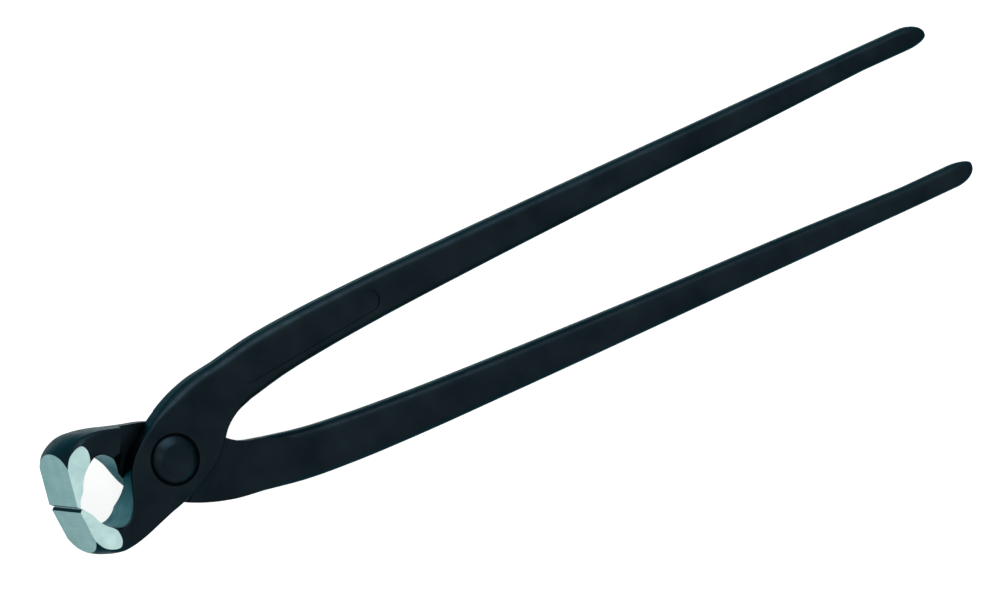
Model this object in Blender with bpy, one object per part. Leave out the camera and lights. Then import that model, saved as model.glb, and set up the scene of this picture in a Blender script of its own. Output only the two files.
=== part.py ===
"""Concreters' nippers for tying and cutting rebar wire, built as three solids:
two forged halves that cross in a lap joint, and the rivet that they turn on.

Frame, in metres: the origin is on the rivet's axis, at the flat top of its front head.
+X runs back along the tool from the jaws to the handles, +Y is the side of the front
half's handle, and +Z is the rivet's axis, out of the front face. The tool is modelled
closed.

Each half is one forging: a bar that runs from the handle's tip, through the joint and
round the jaw to the cutting edge. It is a loft over rungs. A rung joins the bar's left
rim, which faces the head's cavity, to its right rim, which is the outer side of the
jaw, and it has its own thickness, edge radii and crowns. The lap, the rivet seat and the ground
faces are then cut into the loft. The rear half is the same forging turned half a turn
about X. Only the cutting edges differ, because they are ground together, a little to
one side of the middle.
"""

import math

import bpy
import bmesh
import numpy as np
from mathutils import Matrix, Vector

MM = 0.001

# Overall sizes of the tool
HANDLE_REACH = 250.2 * MM
HANDLE_OFFSET = 23.2 * MM
HANDLE_HALF_THICKNESS = 4.6 * MM
TIP_HALF_THICKNESS = 3.4 * MM
JOINT_RADIUS = 12.0 * MM
JOINT_HALF_THICKNESS = 6.35 * MM
JAW_REACH = 30.5 * MM
JAW_DEPTH = 16.2 * MM
JAW_HALF_WIDTH = 12.6 * MM

# Edge radii of the forging, and the crowns of its sides and faces
HANDLE_EDGE_RADIUS = 1.4 * MM
TIP_EDGE_RADIUS = 2.9 * MM
JOINT_EDGE_RADIUS = 0.9 * MM
JAW_EDGE_RADIUS = 2.0 * MM
CAVITY_EDGE_RADIUS = 0.7 * MM
JAW_CROWN = 3.0 * MM
JAW_FACE_CROWN = 0.9 * MM
HANDLE_CROWN = 0.4 * MM

# Rounded end of each handle
TIP_ROUND_LENGTH = 4.2 * MM
TIP_SKEW = 1.1 * MM
TIP_FLAT_SHARE = 0.25

# Lap joint
OPENING_DEG = 26.0
LAP_GAP = 0.3 * MM
JAW_SHOULDER_HEIGHT = 8.0 * MM
SHOULDER_GAP = 0.25 * MM
SHOULDER_BEVEL = 2.0 * MM

# Rivet and its seat, which is a shallow recess in each outer face
SHANK_RADIUS = 4.0 * MM
SHANK_CLEARANCE = 0.3 * MM
SEAT_RADIUS = 6.7 * MM
SEAT_DEPTH = 1.3 * MM
SEAT_WALL_TAPER = 0.3 * MM
HEAD_BASE_RADIUS = 6.0 * MM
HEAD_TOP_RADIUS = 4.2 * MM
HEAD_RISE = 2.2 * MM
HEAD_EDGE_RADIUS = 0.35 * MM
HEAD_CLEARANCE = 0.3 * MM
PIVOT_DEPTH = JOINT_HALF_THICKNESS + HEAD_RISE

# Ground faces of the jaw
EDGE_GAP = 0.25 * MM
EDGE_OFFSET = 0.85 * MM
EDGE_SETBACK = 0.8 * MM
NOSE_SLOPE = 0.12
FLANK_HALF_WIDTH = 10.4 * MM

# Bare panel in the front half's handle
PANEL_LENGTH = 44.9 * MM
PANEL_WIDTH = 5.9 * MM
PANEL_DEPTH = 0.3 * MM
PANEL_START = 24.9 * MM
PANEL_RISE = 12.6 * MM
PANEL_SLOPE = 0.098

# Shares of a rung's width that its corners may take
LEFT_CORNER_SHARE = 0.3
RIGHT_CORNER_SHARE = 0.5

# Fineness of the mesh, and how far a cutter runs past what it cuts
CUT_OVERRUN = 4.0 * MM
CORNER_STEPS = 4
SIDE_STEPS = 8
FACE_STEPS = 6
TIP_STEPS = 8
HANDLE_STEPS = 2
HEAD_STEPS = 3
BLEND_RUNGS = 3
ARC_STEPS = 12
ROUND_SEGMENTS = 48
SMOOTH_DEG = 30.0

# Directions, seen from the rivet, between which the lap's handle-side shoulder runs,
# and the one from which it is beveled
SHOULDER_LEAD_DEG = 3.0
SHOULDER_BEVEL_DEG = 40.0
SHOULDER_END_DEG = 96.0
SHOULDER_STEPS = 36
OPENING_STEPS = 26
RIM_STEPS = 4
RIM_JAW_RUNGS = 4

# Rungs of the handle, tip to joint: left rim x and y, right rim x and y, as shares of
# the handle's reach and offset.
HANDLE_RUNG_SHARES = (
    (0.911, 1.008, 0.911, 0.736),
    (0.767, 0.998, 0.767, 0.671),
    (0.640, 0.989, 0.640, 0.626),
    (0.508, 0.982, 0.512, 0.573),
    (0.380, 0.970, 0.388, 0.515),
    (0.256, 0.950, 0.272, 0.447),
    (0.192, 0.922, 0.210, 0.394),
    (0.130, 0.864, 0.150, 0.318),
    (0.086, 0.782, 0.108, 0.228),
)
# Rungs of the joint, handle to jaw, as shares of the joint's radius.
JOINT_RUNG_SHARES = (
    (1.083, 1.352, 1.700, 0.300),
    (0.625, 1.190, 1.430, 0.115),
    (0.283, 1.068, 1.275, -0.050),
    (-0.040, 0.955, 1.115, -0.210),
    (-0.310, 0.800, 0.955, -0.375),
    (-0.600, 0.605, 0.715, -0.545),
    (-0.845, 0.385, 0.415, -0.700),
    (-1.010, 0.150, 0.100, -0.835),
    (-1.105, -0.085, -0.180, -0.940),
    (-1.185, -0.335, -0.500, -1.020),
    (-1.285, -0.535, -0.860, -1.120),
)
# Rungs of the jaw, joint to cutting edge, as shares of the jaw's reach and depth.
JAW_RUNG_SHARES = (
    (-0.555, -0.512, -0.488, -0.914),
    (-0.620, -0.586, -0.620, -0.975),
    (-0.693, -0.593, -0.743, -1.000),
    (-0.766, -0.537, -0.838, -0.957),
    (-0.825, -0.451, -0.934, -0.864),
    (-0.871, -0.333, -1.003, -0.716),
    (-0.904, -0.198, -1.050, -0.469),
    (-0.940, -0.075, -1.060, -0.198),
    (-0.965, 0.100, -1.060, 0.100),
)
# Rounding of the handle's edges: how far each of its rungs has gone from the joint's
# radius to the tip's
HANDLE_ROUNDING_SHARES = (1, 1, 1, 1, 0.8, 0.5, 0.3, 0.1, 0)
# Half thickness along the joint and the jaw: how far each rung has gone from the
# joint's to the jaw's. Next to the handle the joint is thinner than at the rivet.
JOINT_FLARE_SHARES = (-0.22, -0.13, -0.05, 0, 0, 0, 0, 0, 0.03, 0.09, 0.19)
JAW_FLARE_SHARES = (0.25, 0.42, 0.60, 0.77, 0.90, 0.97, 1.0, 1.0, 1.0)
# How much of the jaw's crown each rung has
JAW_CROWN_SHARES = (0.0, 0.2, 0.45, 0.7, 0.9, 1.0, 0.7, 0.3, 0.0)
# How much of the crown of the jaw's two faces each rung has
JAW_FACE_SHARES = (0.2, 0.6, 1.0, 1.0, 1.0, 1.0, 1.0, 0.6, 0.2)
# Corners of the lap's sloping jaw-side shoulder, outer side first, as shares of the
# jaw's reach and depth: its edge at the jaw's side, and its foot at the lap.
JAW_SHOULDER_SHARES = (
    (-0.355, -1.200),
    (-0.364, -0.852),
    (-0.400, -0.679),
    (-0.452, -0.494),
    (-0.525, -0.463),
    (-0.606, -0.444),
)
SHOULDER_FOOT_SHARES = (
    (-0.279, -1.173),
    (-0.292, -0.790),
    (-0.325, -0.574),
    (-0.361, -0.340),
    (-0.439, -0.111),
    (-0.492, 0.062),
)
# Far corners of the lap's cut, clear of the forging, as shares of the joint's radius.
LAP_FAR_SHARES = ((1.60, -0.50), (0.80, -1.60))
LAP_NEAR_SHARES = ((0.30, 1.60), (-1.40, 1.00))


def new_material(name, colour, roughness, metallic):
    material = bpy.data.materials.new(name)
    material.use_nodes = True
    shader = material.node_tree.nodes["Principled BSDF"]
    shader.inputs["Base Color"].default_value = (*colour, 1.0)
    shader.inputs["Roughness"].default_value = roughness
    shader.inputs["Metallic"].default_value = metallic
    return material


def new_object(name, mesh, material):
    thing = bpy.data.objects.new(name, mesh)
    bpy.context.scene.collection.objects.link(thing)
    mesh.materials.append(material)
    mesh.shade_smooth()
    mesh.set_sharp_from_angle(angle=math.radians(SMOOTH_DEG))
    return thing


def closed_mesh(name, rings):
    """Skins a list of closed rings of equal length and caps both ends."""
    bm = bmesh.new()
    rows = [[bm.verts.new(point) for point in ring] for ring in rings]
    count = len(rows[0])
    for row, following in zip(rows, rows[1:]):
        for i in range(count):
            j = (i + 1) % count
            bm.faces.new((row[i], row[j], following[j], following[i]))
    bm.faces.new(rows[0][::-1])
    bm.faces.new(rows[-1])
    bmesh.ops.recalc_face_normals(bm, faces=bm.faces)
    mesh = bpy.data.meshes.new(name)
    bm.to_mesh(mesh)
    bm.free()
    return mesh


def prism(name, outline, low, high):
    """A closed solid with a flat outline in plan, between two heights."""
    rings = [[(x, y, z) for x, y in outline] for z in (low, high)]
    return closed_mesh(name, rings)


def revolved(name, profile):
    """A closed solid turned about Z from (radius, height) points on its outer side."""
    angles = [2 * math.pi * i / ROUND_SEGMENTS for i in range(ROUND_SEGMENTS)]
    rings = [[(r * math.cos(a), r * math.sin(a), z) for a in angles] for r, z in profile]
    return closed_mesh(name, rings)


def cut(target, name, mesh, matrix=None):
    """Adds a Boolean difference with a hidden cutter."""
    cutter = bpy.data.objects.new(name, mesh)
    bpy.context.scene.collection.objects.link(cutter)
    if matrix is not None:
        cutter.matrix_world = matrix
    cutter.hide_render = True
    cutter.display_type = "WIRE"
    modifier = target.modifiers.new(name, "BOOLEAN")
    modifier.operation = "DIFFERENCE"
    modifier.object = cutter
    return cutter


def smoothed(rungs, steps):
    """Catmull-Rom curve through the rungs, spaced by the distance between them."""
    rungs = np.array(rungs)
    middles = (rungs[:, 0:2] + rungs[:, 2:4]) / 2
    knots = np.concatenate([[0.0], np.cumsum(np.linalg.norm(np.diff(middles, axis=0), axis=1))])
    slopes = np.gradient(rungs, knots, axis=0)
    rows = []
    for i in range(len(rungs) - 1):
        span = knots[i + 1] - knots[i]
        for t in np.arange(steps) / steps:
            keep = 2 * t**3 - 3 * t**2 + 1
            lead = t**3 - 2 * t**2 + t
            tail = t**3 - t**2
            rows.append(
                keep * rungs[i]
                + (1 - keep) * rungs[i + 1]
                + span * (lead * slopes[i] + tail * slopes[i + 1])
            )
    rows.append(rungs[-1])
    return rows


def handle_rungs():
    """Left x and y, right x and y, half thickness, the left and right side's edge radius
    and their crown, then the crown of the two faces.
    """
    rungs = []
    first, last = HANDLE_RUNG_SHARES[0][0], HANDLE_RUNG_SHARES[-1][0]
    for rim, rounding in zip(HANDLE_RUNG_SHARES, HANDLE_ROUNDING_SHARES):
        left_x, left_y, right_x, right_y = rim
        taper = (left_x - last) / (first - last)
        radius = HANDLE_EDGE_RADIUS + rounding * (TIP_EDGE_RADIUS - HANDLE_EDGE_RADIUS)
        thickness = HANDLE_HALF_THICKNESS + taper * (TIP_HALF_THICKNESS - HANDLE_HALF_THICKNESS)
        rungs.append(
            (
                left_x * HANDLE_REACH,
                left_y * HANDLE_OFFSET,
                right_x * HANDLE_REACH,
                right_y * HANDLE_OFFSET,
                thickness,
                radius,
                radius,
                HANDLE_CROWN * (1 - taper),
                HANDLE_CROWN * (1 - taper),
                0.0,
            )
        )
    return rungs


def joint_rungs():
    rungs = []
    for i, (left_x, left_y, right_x, right_y) in enumerate(JOINT_RUNG_SHARES):
        flare = JOINT_FLARE_SHARES[i]
        ahead = max(0.0, 1 - max(0, i - 1) / BLEND_RUNGS)
        rungs.append(
            (
                left_x * JOINT_RADIUS,
                left_y * JOINT_RADIUS,
                right_x * JOINT_RADIUS,
                right_y * JOINT_RADIUS,
                JOINT_HALF_THICKNESS + flare * (JAW_HALF_WIDTH - JOINT_HALF_THICKNESS),
                JOINT_EDGE_RADIUS + ahead * (HANDLE_EDGE_RADIUS - JOINT_EDGE_RADIUS),
                JOINT_EDGE_RADIUS,
                ahead * HANDLE_CROWN,
                0.0,
                0.0,
            )
        )
    return rungs


def jaw_rungs():
    rungs = []
    for i, (left_x, left_y, right_x, right_y) in enumerate(JAW_RUNG_SHARES):
        flare = JAW_FLARE_SHARES[i]
        along = min(1.0, i / BLEND_RUNGS)
        rungs.append(
            (
                left_x * JAW_REACH,
                left_y * JAW_DEPTH,
                right_x * JAW_REACH,
                right_y * JAW_DEPTH,
                JOINT_HALF_THICKNESS + flare * (JAW_HALF_WIDTH - JOINT_HALF_THICKNESS),
                CAVITY_EDGE_RADIUS,
                JOINT_EDGE_RADIUS + along * (JAW_EDGE_RADIUS - JOINT_EDGE_RADIUS),
                0.0,
                JAW_CROWN_SHARES[i] * JAW_CROWN,
                JAW_FACE_SHARES[i] * JAW_FACE_CROWN,
            )
        )
    return rungs


def tip_rungs():
    """Rungs that close the handle's tip with a quarter ellipse, drawn to its inner side."""
    left_x, left_y, right_x, right_y = HANDLE_RUNG_SHARES[0]
    start = HANDLE_REACH - TIP_ROUND_LENGTH
    middle = HANDLE_OFFSET * (left_y + right_y) / 2
    half_width = HANDLE_OFFSET * (left_y - right_y) / 2
    rungs = []
    for angle in np.linspace(math.acos(TIP_FLAT_SHARE), 0.0, TIP_STEPS):
        size = math.cos(angle)
        x = start + TIP_ROUND_LENGTH * math.sin(angle)
        y = middle - TIP_SKEW * (1 - size)
        rungs.append(
            (
                x,
                y + size * half_width,
                x,
                y - size * half_width,
                size * TIP_HALF_THICKNESS,
                size * TIP_EDGE_RADIUS,
                size * TIP_EDGE_RADIUS,
                0.0,
                0.0,
                0.0,
            )
        )
    return rungs


def section(rung):
    """Closed ring round one rung: a rectangle with rounded corners, crowned sides and faces."""
    left, right = Vector((*rung[0:2], 0.0)), Vector((*rung[2:4], 0.0))
    half, left_radius, right_radius = (float(v) for v in rung[4:7])
    left_crown, right_crown, face_crown = (float(v) for v in rung[7:10])
    width = (right - left).length
    across = (right - left) / width
    # A narrow rung keeps its corners' height and draws in their width.
    left_run = min(left_radius, LEFT_CORNER_SHARE * width)
    right_run = min(right_radius, RIGHT_CORNER_SHARE * width)
    quarter = [math.pi / 2 * i / CORNER_STEPS for i in range(CORNER_STEPS + 1)]
    flat = [(left_run * (1 - math.cos(a)), half - left_radius * (1 - math.sin(a))) for a in quarter]
    across_face = [i / FACE_STEPS for i in range(1, FACE_STEPS)]
    flat += [(left_run + share * (width - left_run - right_run), half) for share in across_face]
    flat += [
        (width - right_run * (1 - math.sin(a)), half - right_radius * (1 - math.cos(a)))
        for a in quarter
    ]
    below = [(u, -z) for u, z in flat]
    side = [1 - 2 * i / SIDE_STEPS for i in range(1, SIDE_STEPS)]
    flat += [(width, share * (half - right_radius)) for share in side]
    flat += below[::-1]
    flat += [(0.0, -share * (half - left_radius)) for share in side]
    ring = []
    for u, z in flat:
        pull = left_crown * (1 - u / width) ** 2 - right_crown * (u / width) ** 2
        point = left + (u + pull * (z / half) ** 2) * across
        drop = face_crown / half * (2 * u / width - 1) ** 2
        ring.append((point.x, point.y, z * (1 - drop)))
    return ring


def bar_rungs():
    """All rungs of the bar, from the handle's tip to the cutting edge."""
    handle = handle_rungs()
    head = joint_rungs() + jaw_rungs()
    body = smoothed(handle[-1:] + head, HEAD_STEPS)
    return tip_rungs() + smoothed(handle, HANDLE_STEPS)[:-1] + body


def swept_rim(bevel):
    """Handle-side shoulder of the lap, as plan points.

    The other half's right rim is this half's, mirrored. While the tool opens, it turns
    through the opening angle, so the shoulder is the largest radius that the rim
    reaches in each direction, plus a gap. Towards the bar's side it falls back further,
    by up to the given bevel.
    """
    rims = np.array(smoothed(joint_rungs() + jaw_rungs()[:RIM_JAW_RUNGS], RIM_STEPS))[:, 2:4]
    angles = -np.degrees(np.arctan2(rims[:, 1], rims[:, 0]))
    radii = np.hypot(rims[:, 0], rims[:, 1])
    directions = np.linspace(angles[0] + SHOULDER_LEAD_DEG, SHOULDER_END_DEG, SHOULDER_STEPS)
    turns = np.linspace(0.0, OPENING_DEG, OPENING_STEPS)
    points = []
    for direction in directions:
        fall = np.interp(direction, (SHOULDER_BEVEL_DEG, SHOULDER_END_DEG), (0.0, bevel))
        reach = np.interp(direction + turns, angles, radii).max() + SHOULDER_GAP + fall
        around = math.radians(direction)
        points.append((reach * math.cos(around), reach * math.sin(around)))
    return points


def lap_outline(bevel, shoulder_shares):
    """Plan of the cut that makes room for the other half's lap, at one height."""
    outline = swept_rim(bevel)
    outline += [(x * JOINT_RADIUS, y * JOINT_RADIUS) for x, y in LAP_NEAR_SHARES]
    outline += [(x * JAW_REACH, y * JAW_DEPTH) for x, y in reversed(shoulder_shares)]
    outline += [(x * JOINT_RADIUS, y * JOINT_RADIUS) for x, y in reversed(LAP_FAR_SHARES)]
    return outline


def cut_lap(half):
    """Cuts the lap. Both its shoulders slope from the bar's side down to the lap."""
    edge = lap_outline(SHOULDER_BEVEL, JAW_SHOULDER_SHARES)
    foot = lap_outline(0.0, SHOULDER_FOOT_SHARES)
    levels = (
        (edge, -(JAW_HALF_WIDTH + CUT_OVERRUN)),
        (edge, -JAW_SHOULDER_HEIGHT),
        (foot, LAP_GAP / 2),
    )
    rings = [[(x, y, z) for x, y in outline] for outline, z in levels]
    cut(half, "lap_cutter", closed_mesh("lap_cutter", rings))


def cut_rivet_seat(half):
    floor = JOINT_HALF_THICKNESS - SEAT_DEPTH
    over = SEAT_WALL_TAPER * CUT_OVERRUN / SEAT_DEPTH
    profile = (
        (SHANK_RADIUS + SHANK_CLEARANCE, -CUT_OVERRUN),
        (SHANK_RADIUS + SHANK_CLEARANCE, floor),
        (SEAT_RADIUS - SEAT_WALL_TAPER, floor),
        (SEAT_RADIUS + over, JOINT_HALF_THICKNESS + CUT_OVERRUN),
    )
    cut(half, "seat_cutter", revolved("seat_cutter", profile))


def cut_cutting_edge(half, closing):
    """Cuts the bar back to its closing plane, and bevels the outside of the edge at 45 degrees."""
    span = JAW_HALF_WIDTH + CUT_OVERRUN
    far = -(JAW_REACH + 2 * CUT_OVERRUN)
    near = -(JAW_REACH - CUT_OVERRUN)
    outer = -(JAW_REACH - EDGE_SETBACK)
    outline = (
        (near, closing),
        (near, CUT_OVERRUN),
        (far, CUT_OVERRUN),
        (far, closing - (outer - far)),
        (outer, closing),
    )
    cut(half, "edge_cutter", prism("edge_cutter", outline, -span, span))


def cut_nose(half):
    """Grinds the end face square to the tool, leaning back away from the edge."""
    span = JAW_HALF_WIDTH + CUT_OVERRUN
    depth = JAW_DEPTH + CUT_OVERRUN
    far = -(JAW_REACH + 2 * CUT_OVERRUN)
    outline = (
        (-JAW_REACH - NOSE_SLOPE * CUT_OVERRUN, CUT_OVERRUN),
        (far, CUT_OVERRUN),
        (far, -depth),
        (-JAW_REACH + NOSE_SLOPE * depth, -depth),
    )
    cut(half, "nose_cutter", prism("nose_cutter", outline, -span, span))


def cut_flanks(half):
    """Grinds a flat on each side of the jaw."""
    depth = JAW_DEPTH + CUT_OVERRUN
    reach = JAW_REACH + 2 * CUT_OVERRUN
    top = JAW_HALF_WIDTH + CUT_OVERRUN
    outline = (
        (-reach, -depth),
        (-JOINT_RADIUS, -depth),
        (-JOINT_RADIUS, CUT_OVERRUN),
        (-reach, CUT_OVERRUN),
    )
    cut(half, "front_flank_cutter", prism("front_flank_cutter", outline, FLANK_HALF_WIDTH, top))
    cut(half, "rear_flank_cutter", prism("rear_flank_cutter", outline, -top, -FLANK_HALF_WIDTH))


def forged_half(steel, closing):
    """One half's finished mesh, with its cutting edge at the given height in its own frame."""
    half = new_object("half", closed_mesh("half", [section(rung) for rung in bar_rungs()]), steel)
    cut_cutting_edge(half, closing)
    cut_nose(half)
    cut_flanks(half)
    cut_lap(half)
    cut_rivet_seat(half)
    bpy.context.view_layer.update()
    graph = bpy.context.evaluated_depsgraph_get()
    mesh = bpy.data.meshes.new_from_object(half.evaluated_get(graph))
    helpers = [modifier.object for modifier in half.modifiers] + [half]
    for helper in helpers:
        bpy.data.objects.remove(helper)
    return mesh


def cut_panel(front):
    """Sinks a shallow bare panel with round ends into the front face of the handle. Its
    floor follows the face, which falls towards the handle's tip.
    """
    first, last = HANDLE_RUNG_SHARES[0][0], HANDLE_RUNG_SHARES[-1][0]
    fall = (HANDLE_HALF_THICKNESS - TIP_HALF_THICKNESS) / ((first - last) * HANDLE_REACH)
    radius = PANEL_WIDTH / 2
    run = PANEL_LENGTH - PANEL_WIDTH
    turn = [math.pi * i / ARC_STEPS for i in range(ARC_STEPS + 1)]
    outline = [(run + radius * math.sin(a), -radius * math.cos(a)) for a in turn]
    outline += [(-radius * math.sin(a), radius * math.cos(a)) for a in turn]
    start = PANEL_START + radius
    floor = HANDLE_HALF_THICKNESS - fall * (start - last * HANDLE_REACH) - PANEL_DEPTH
    mesh = prism("panel_cutter", outline, 0.0, CUT_OVERRUN)
    turn = Matrix.Rotation(math.atan(PANEL_SLOPE), 4, "Z") @ Matrix.Rotation(math.atan(fall), 4, "Y")
    place = Matrix.Translation((start, PANEL_RISE, floor - PIVOT_DEPTH)) @ turn
    cut(front, "panel_cutter", mesh, place)


def make_halves(steel):
    front = new_object("front_half", forged_half(steel, -EDGE_OFFSET - EDGE_GAP / 2), steel)
    rear = new_object("rear_half", forged_half(steel, EDGE_OFFSET - EDGE_GAP / 2), steel)
    front.location.z = -PIVOT_DEPTH
    rear.location.z = -PIVOT_DEPTH
    rear.rotation_euler.x = math.pi
    cut_panel(front)


def make_rivet(steel):
    """Shank and two truncated cone heads, each with a rounded top edge."""
    seat = JOINT_HALF_THICKNESS - SEAT_DEPTH + HEAD_CLEARANCE
    top = JOINT_HALF_THICKNESS + HEAD_RISE
    upper = [(SHANK_RADIUS, seat), (HEAD_BASE_RADIUS, seat)]
    for i in range(CORNER_STEPS + 1):
        a = math.pi / 2 * i / CORNER_STEPS
        upper.append(
            (
                HEAD_TOP_RADIUS - HEAD_EDGE_RADIUS * (1 - math.cos(a)),
                top - HEAD_EDGE_RADIUS * (1 - math.sin(a)),
            )
        )
    lower = [(r, -z) for r, z in reversed(upper)]
    rivet = new_object("pivot_rivet", revolved("pivot_rivet", lower + upper), steel)
    rivet.location.z = -PIVOT_DEPTH


def build():
    for thing in list(bpy.data.objects):
        bpy.data.objects.remove(thing)
    black = new_material("black_oxide_steel", (0.012, 0.02, 0.024), 0.42, 0.85)
    rivet_steel = new_material("black_rivet_steel", (0.014, 0.022, 0.026), 0.36, 0.85)
    make_halves(black)
    make_rivet(rivet_steel)


build()
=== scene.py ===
"""Fine model, finishes and studio for concreters' nippers.

The two forged halves and the rivet are made again as close surfaces, worked out with
numpy from the sizes of the solid model, and each stands in the place of its solid. All
sizes are in metres, in the model's frame: the origin is on the rivet's axis at the top
of its front head, +X runs back to the handles, +Y is the side of the front half's
handle, and +Z points out of the front face.
"""

from __future__ import annotations

import logging
import math
from dataclasses import dataclass, field
from enum import Enum

import bpy
import numpy as np
from mathutils import Matrix, Vector

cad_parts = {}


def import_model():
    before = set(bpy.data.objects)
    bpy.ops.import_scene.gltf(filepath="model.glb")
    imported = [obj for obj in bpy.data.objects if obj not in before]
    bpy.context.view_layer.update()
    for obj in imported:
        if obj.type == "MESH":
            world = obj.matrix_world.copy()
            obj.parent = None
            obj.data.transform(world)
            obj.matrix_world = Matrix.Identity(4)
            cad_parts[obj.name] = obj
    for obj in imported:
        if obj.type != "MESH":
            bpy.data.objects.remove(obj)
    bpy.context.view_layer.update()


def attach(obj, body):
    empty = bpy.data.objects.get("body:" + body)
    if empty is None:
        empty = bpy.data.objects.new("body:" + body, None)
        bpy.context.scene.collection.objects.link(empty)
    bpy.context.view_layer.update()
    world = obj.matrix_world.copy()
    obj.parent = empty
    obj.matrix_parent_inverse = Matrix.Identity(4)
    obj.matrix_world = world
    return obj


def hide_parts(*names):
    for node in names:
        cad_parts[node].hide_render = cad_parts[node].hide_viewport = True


LOG = logging.getLogger("nippers")
MM = 0.001

# Angle past which an edge stays sharp, and points round a turned shape
SHARP_ANGLE = math.radians(28.0)
ROUND_SEGMENTS = 128

# Range that nearly all of a noise's values lie in, and a Mix node's colour sockets
NOISE_RANGE = (0.3, 0.7)
MIX_FIRST, MIX_SECOND, MIX_RESULT = 6, 7, 2

Colour = tuple[float, float, float]
Rungs = tuple[tuple[float, ...], ...]


# Mesh helpers


def grid_mesh(name: str, rings: np.ndarray) -> bpy.types.Mesh:
    """Skins a stack of closed rings and caps both ends.

    Vertex (i, j) is point j of ring i. Face (i, j) joins it to its neighbours (i, j + 1),
    (i + 1, j + 1) and (i + 1, j), with j counted round the ring.

    Args:
        name: Name of the new mesh.
        rings: Array of shape (rings, points, 3).

    Returns:
        A closed mesh whose faces point outwards.
    """
    count, points = rings.shape[:2]
    index = np.arange(count * points).reshape(count, points)
    after = np.roll(index, -1, axis=1)
    quads = np.stack([index[:-1], after[:-1], after[1:], index[1:]], axis=-1).reshape(-1, 4)
    faces = quads.tolist() + [index[0][::-1].tolist(), index[-1].tolist()]
    corners = rings.reshape(-1, 3)
    a, b, c, d = (corners[quads[:, k]] for k in range(4))
    middle = (a + b + c + d) / 4
    volume = np.einsum("ij,ij->i", np.cross(c - a, d - b), middle).sum()
    if volume < 0:
        faces = [face[::-1] for face in faces]
    mesh = bpy.data.meshes.new(name)
    mesh.from_pydata(corners.tolist(), [], faces)
    mesh.validate()
    return mesh


def prism_rings(outline: np.ndarray, low: float, high: float) -> np.ndarray:
    """Two copies of a plan outline, at two heights.

    Args:
        outline: Array of shape (points, 2).
        low: Height of the first ring.
        high: Height of the last ring.

    Returns:
        Array of shape (2, points, 3).
    """
    return stacked(np.stack([outline, outline]), np.array([low, high]))


def stacked(outlines: np.ndarray, heights: np.ndarray) -> np.ndarray:
    """Gives each plan outline its height.

    Args:
        outlines: Array of shape (rings, points, 2).
        heights: One height for each ring.

    Returns:
        Array of shape (rings, points, 3).
    """
    level = np.broadcast_to(heights[:, None, None], (*outlines.shape[:2], 1))
    return np.concatenate([outlines, level], axis=2)


def revolved_rings(profile: np.ndarray, segments: int) -> np.ndarray:
    """Turns a profile about Z: (r, z) becomes (r cos a, r sin a, z) at each angle a.

    Args:
        profile: Array of shape (rings, 2), radius then height.
        segments: Number of angles round the axis.

    Returns:
        Array of shape (rings, segments, 3).
    """
    angle = np.linspace(0.0, 2 * math.pi, segments, endpoint=False)
    round_ = np.stack([np.cos(angle), np.sin(angle)], axis=-1)
    return stacked(profile[:, :1, None] * round_[None], profile[:, 1])


def smooth_rungs(rungs: np.ndarray, steps: int) -> np.ndarray:
    """Cubic curve through the rungs, with the slope at each taken from its neighbours.

    Between rungs i and i + 1 a value is (2t^3 - 3t^2 + 1) of the first, the rest of the
    second, and the two slopes times (t^3 - 2t^2 + t) and (t^3 - t^2) of the span.

    Args:
        rungs: Array of shape (rungs, values).
        steps: Rungs that each span is split into.

    Returns:
        Array of shape (spans * steps + 1, values).
    """
    middles = (rungs[:, 0:2] + rungs[:, 2:4]) / 2
    lengths = np.linalg.norm(np.diff(middles, axis=0), axis=1)
    slopes = np.gradient(rungs, np.concatenate([[0.0], np.cumsum(lengths)]), axis=0)
    i = np.repeat(np.arange(len(rungs) - 1), steps)
    t = np.tile(np.arange(steps) / steps, len(rungs) - 1)[:, None]
    keep = 2 * t**3 - 3 * t**2 + 1
    bend = (t**3 - 2 * t**2 + t) * slopes[i] + (t**3 - t**2) * slopes[i + 1]
    rows = keep * rungs[i] + (1 - keep) * rungs[i + 1] + lengths[i][:, None] * bend
    return np.vstack([rows, rungs[-1:]])


def new_object(name: str, mesh: bpy.types.Mesh) -> bpy.types.Object:
    """Links a mesh into the scene as an object at the origin.

    Args:
        name: Name of the new object.
        mesh: The object's mesh.

    Returns:
        The new object.
    """
    thing = bpy.data.objects.new(name, mesh)
    bpy.context.scene.collection.objects.link(thing)
    return thing


def cut_away(target: bpy.types.Object, name: str, rings: np.ndarray) -> None:
    """Takes the solid between the rings out of the target, as a live Boolean.

    Args:
        target: Object to cut.
        name: Name of the cutter.
        rings: Rings of the cutter, as for grid_mesh.
    """
    cutter = new_object(name, grid_mesh(name, rings))
    cutter.hide_render = True
    modifier = target.modifiers.new(name, "BOOLEAN")
    modifier.operation = "DIFFERENCE"
    modifier.object = cutter


def finished_mesh(target: bpy.types.Object, name: str) -> bpy.types.Mesh:
    """Works out an object's cuts and removes it together with its cutters.

    Args:
        target: Object with live Booleans.
        name: Name of the mesh that is returned.

    Returns:
        The cut mesh, with no modifiers left to apply.
    """
    bpy.context.view_layer.update()
    graph = bpy.context.evaluated_depsgraph_get()
    mesh = bpy.data.meshes.new_from_object(target.evaluated_get(graph))
    mesh.name = name
    helpers = [m.object for m in target.modifiers if m.type == "BOOLEAN"]
    for helper in [*helpers, target]:
        bpy.data.objects.remove(helper)
    return mesh


# Finishes


def set_inputs(node: bpy.types.Node, values: dict[str, float | tuple[float, ...]]) -> None:
    """Sets constants on a node's own sockets.

    Args:
        node: Node to set.
        values: Value of each socket, by the socket's name.
    """
    for name, value in values.items():
        node.inputs[name].default_value = value


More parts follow.
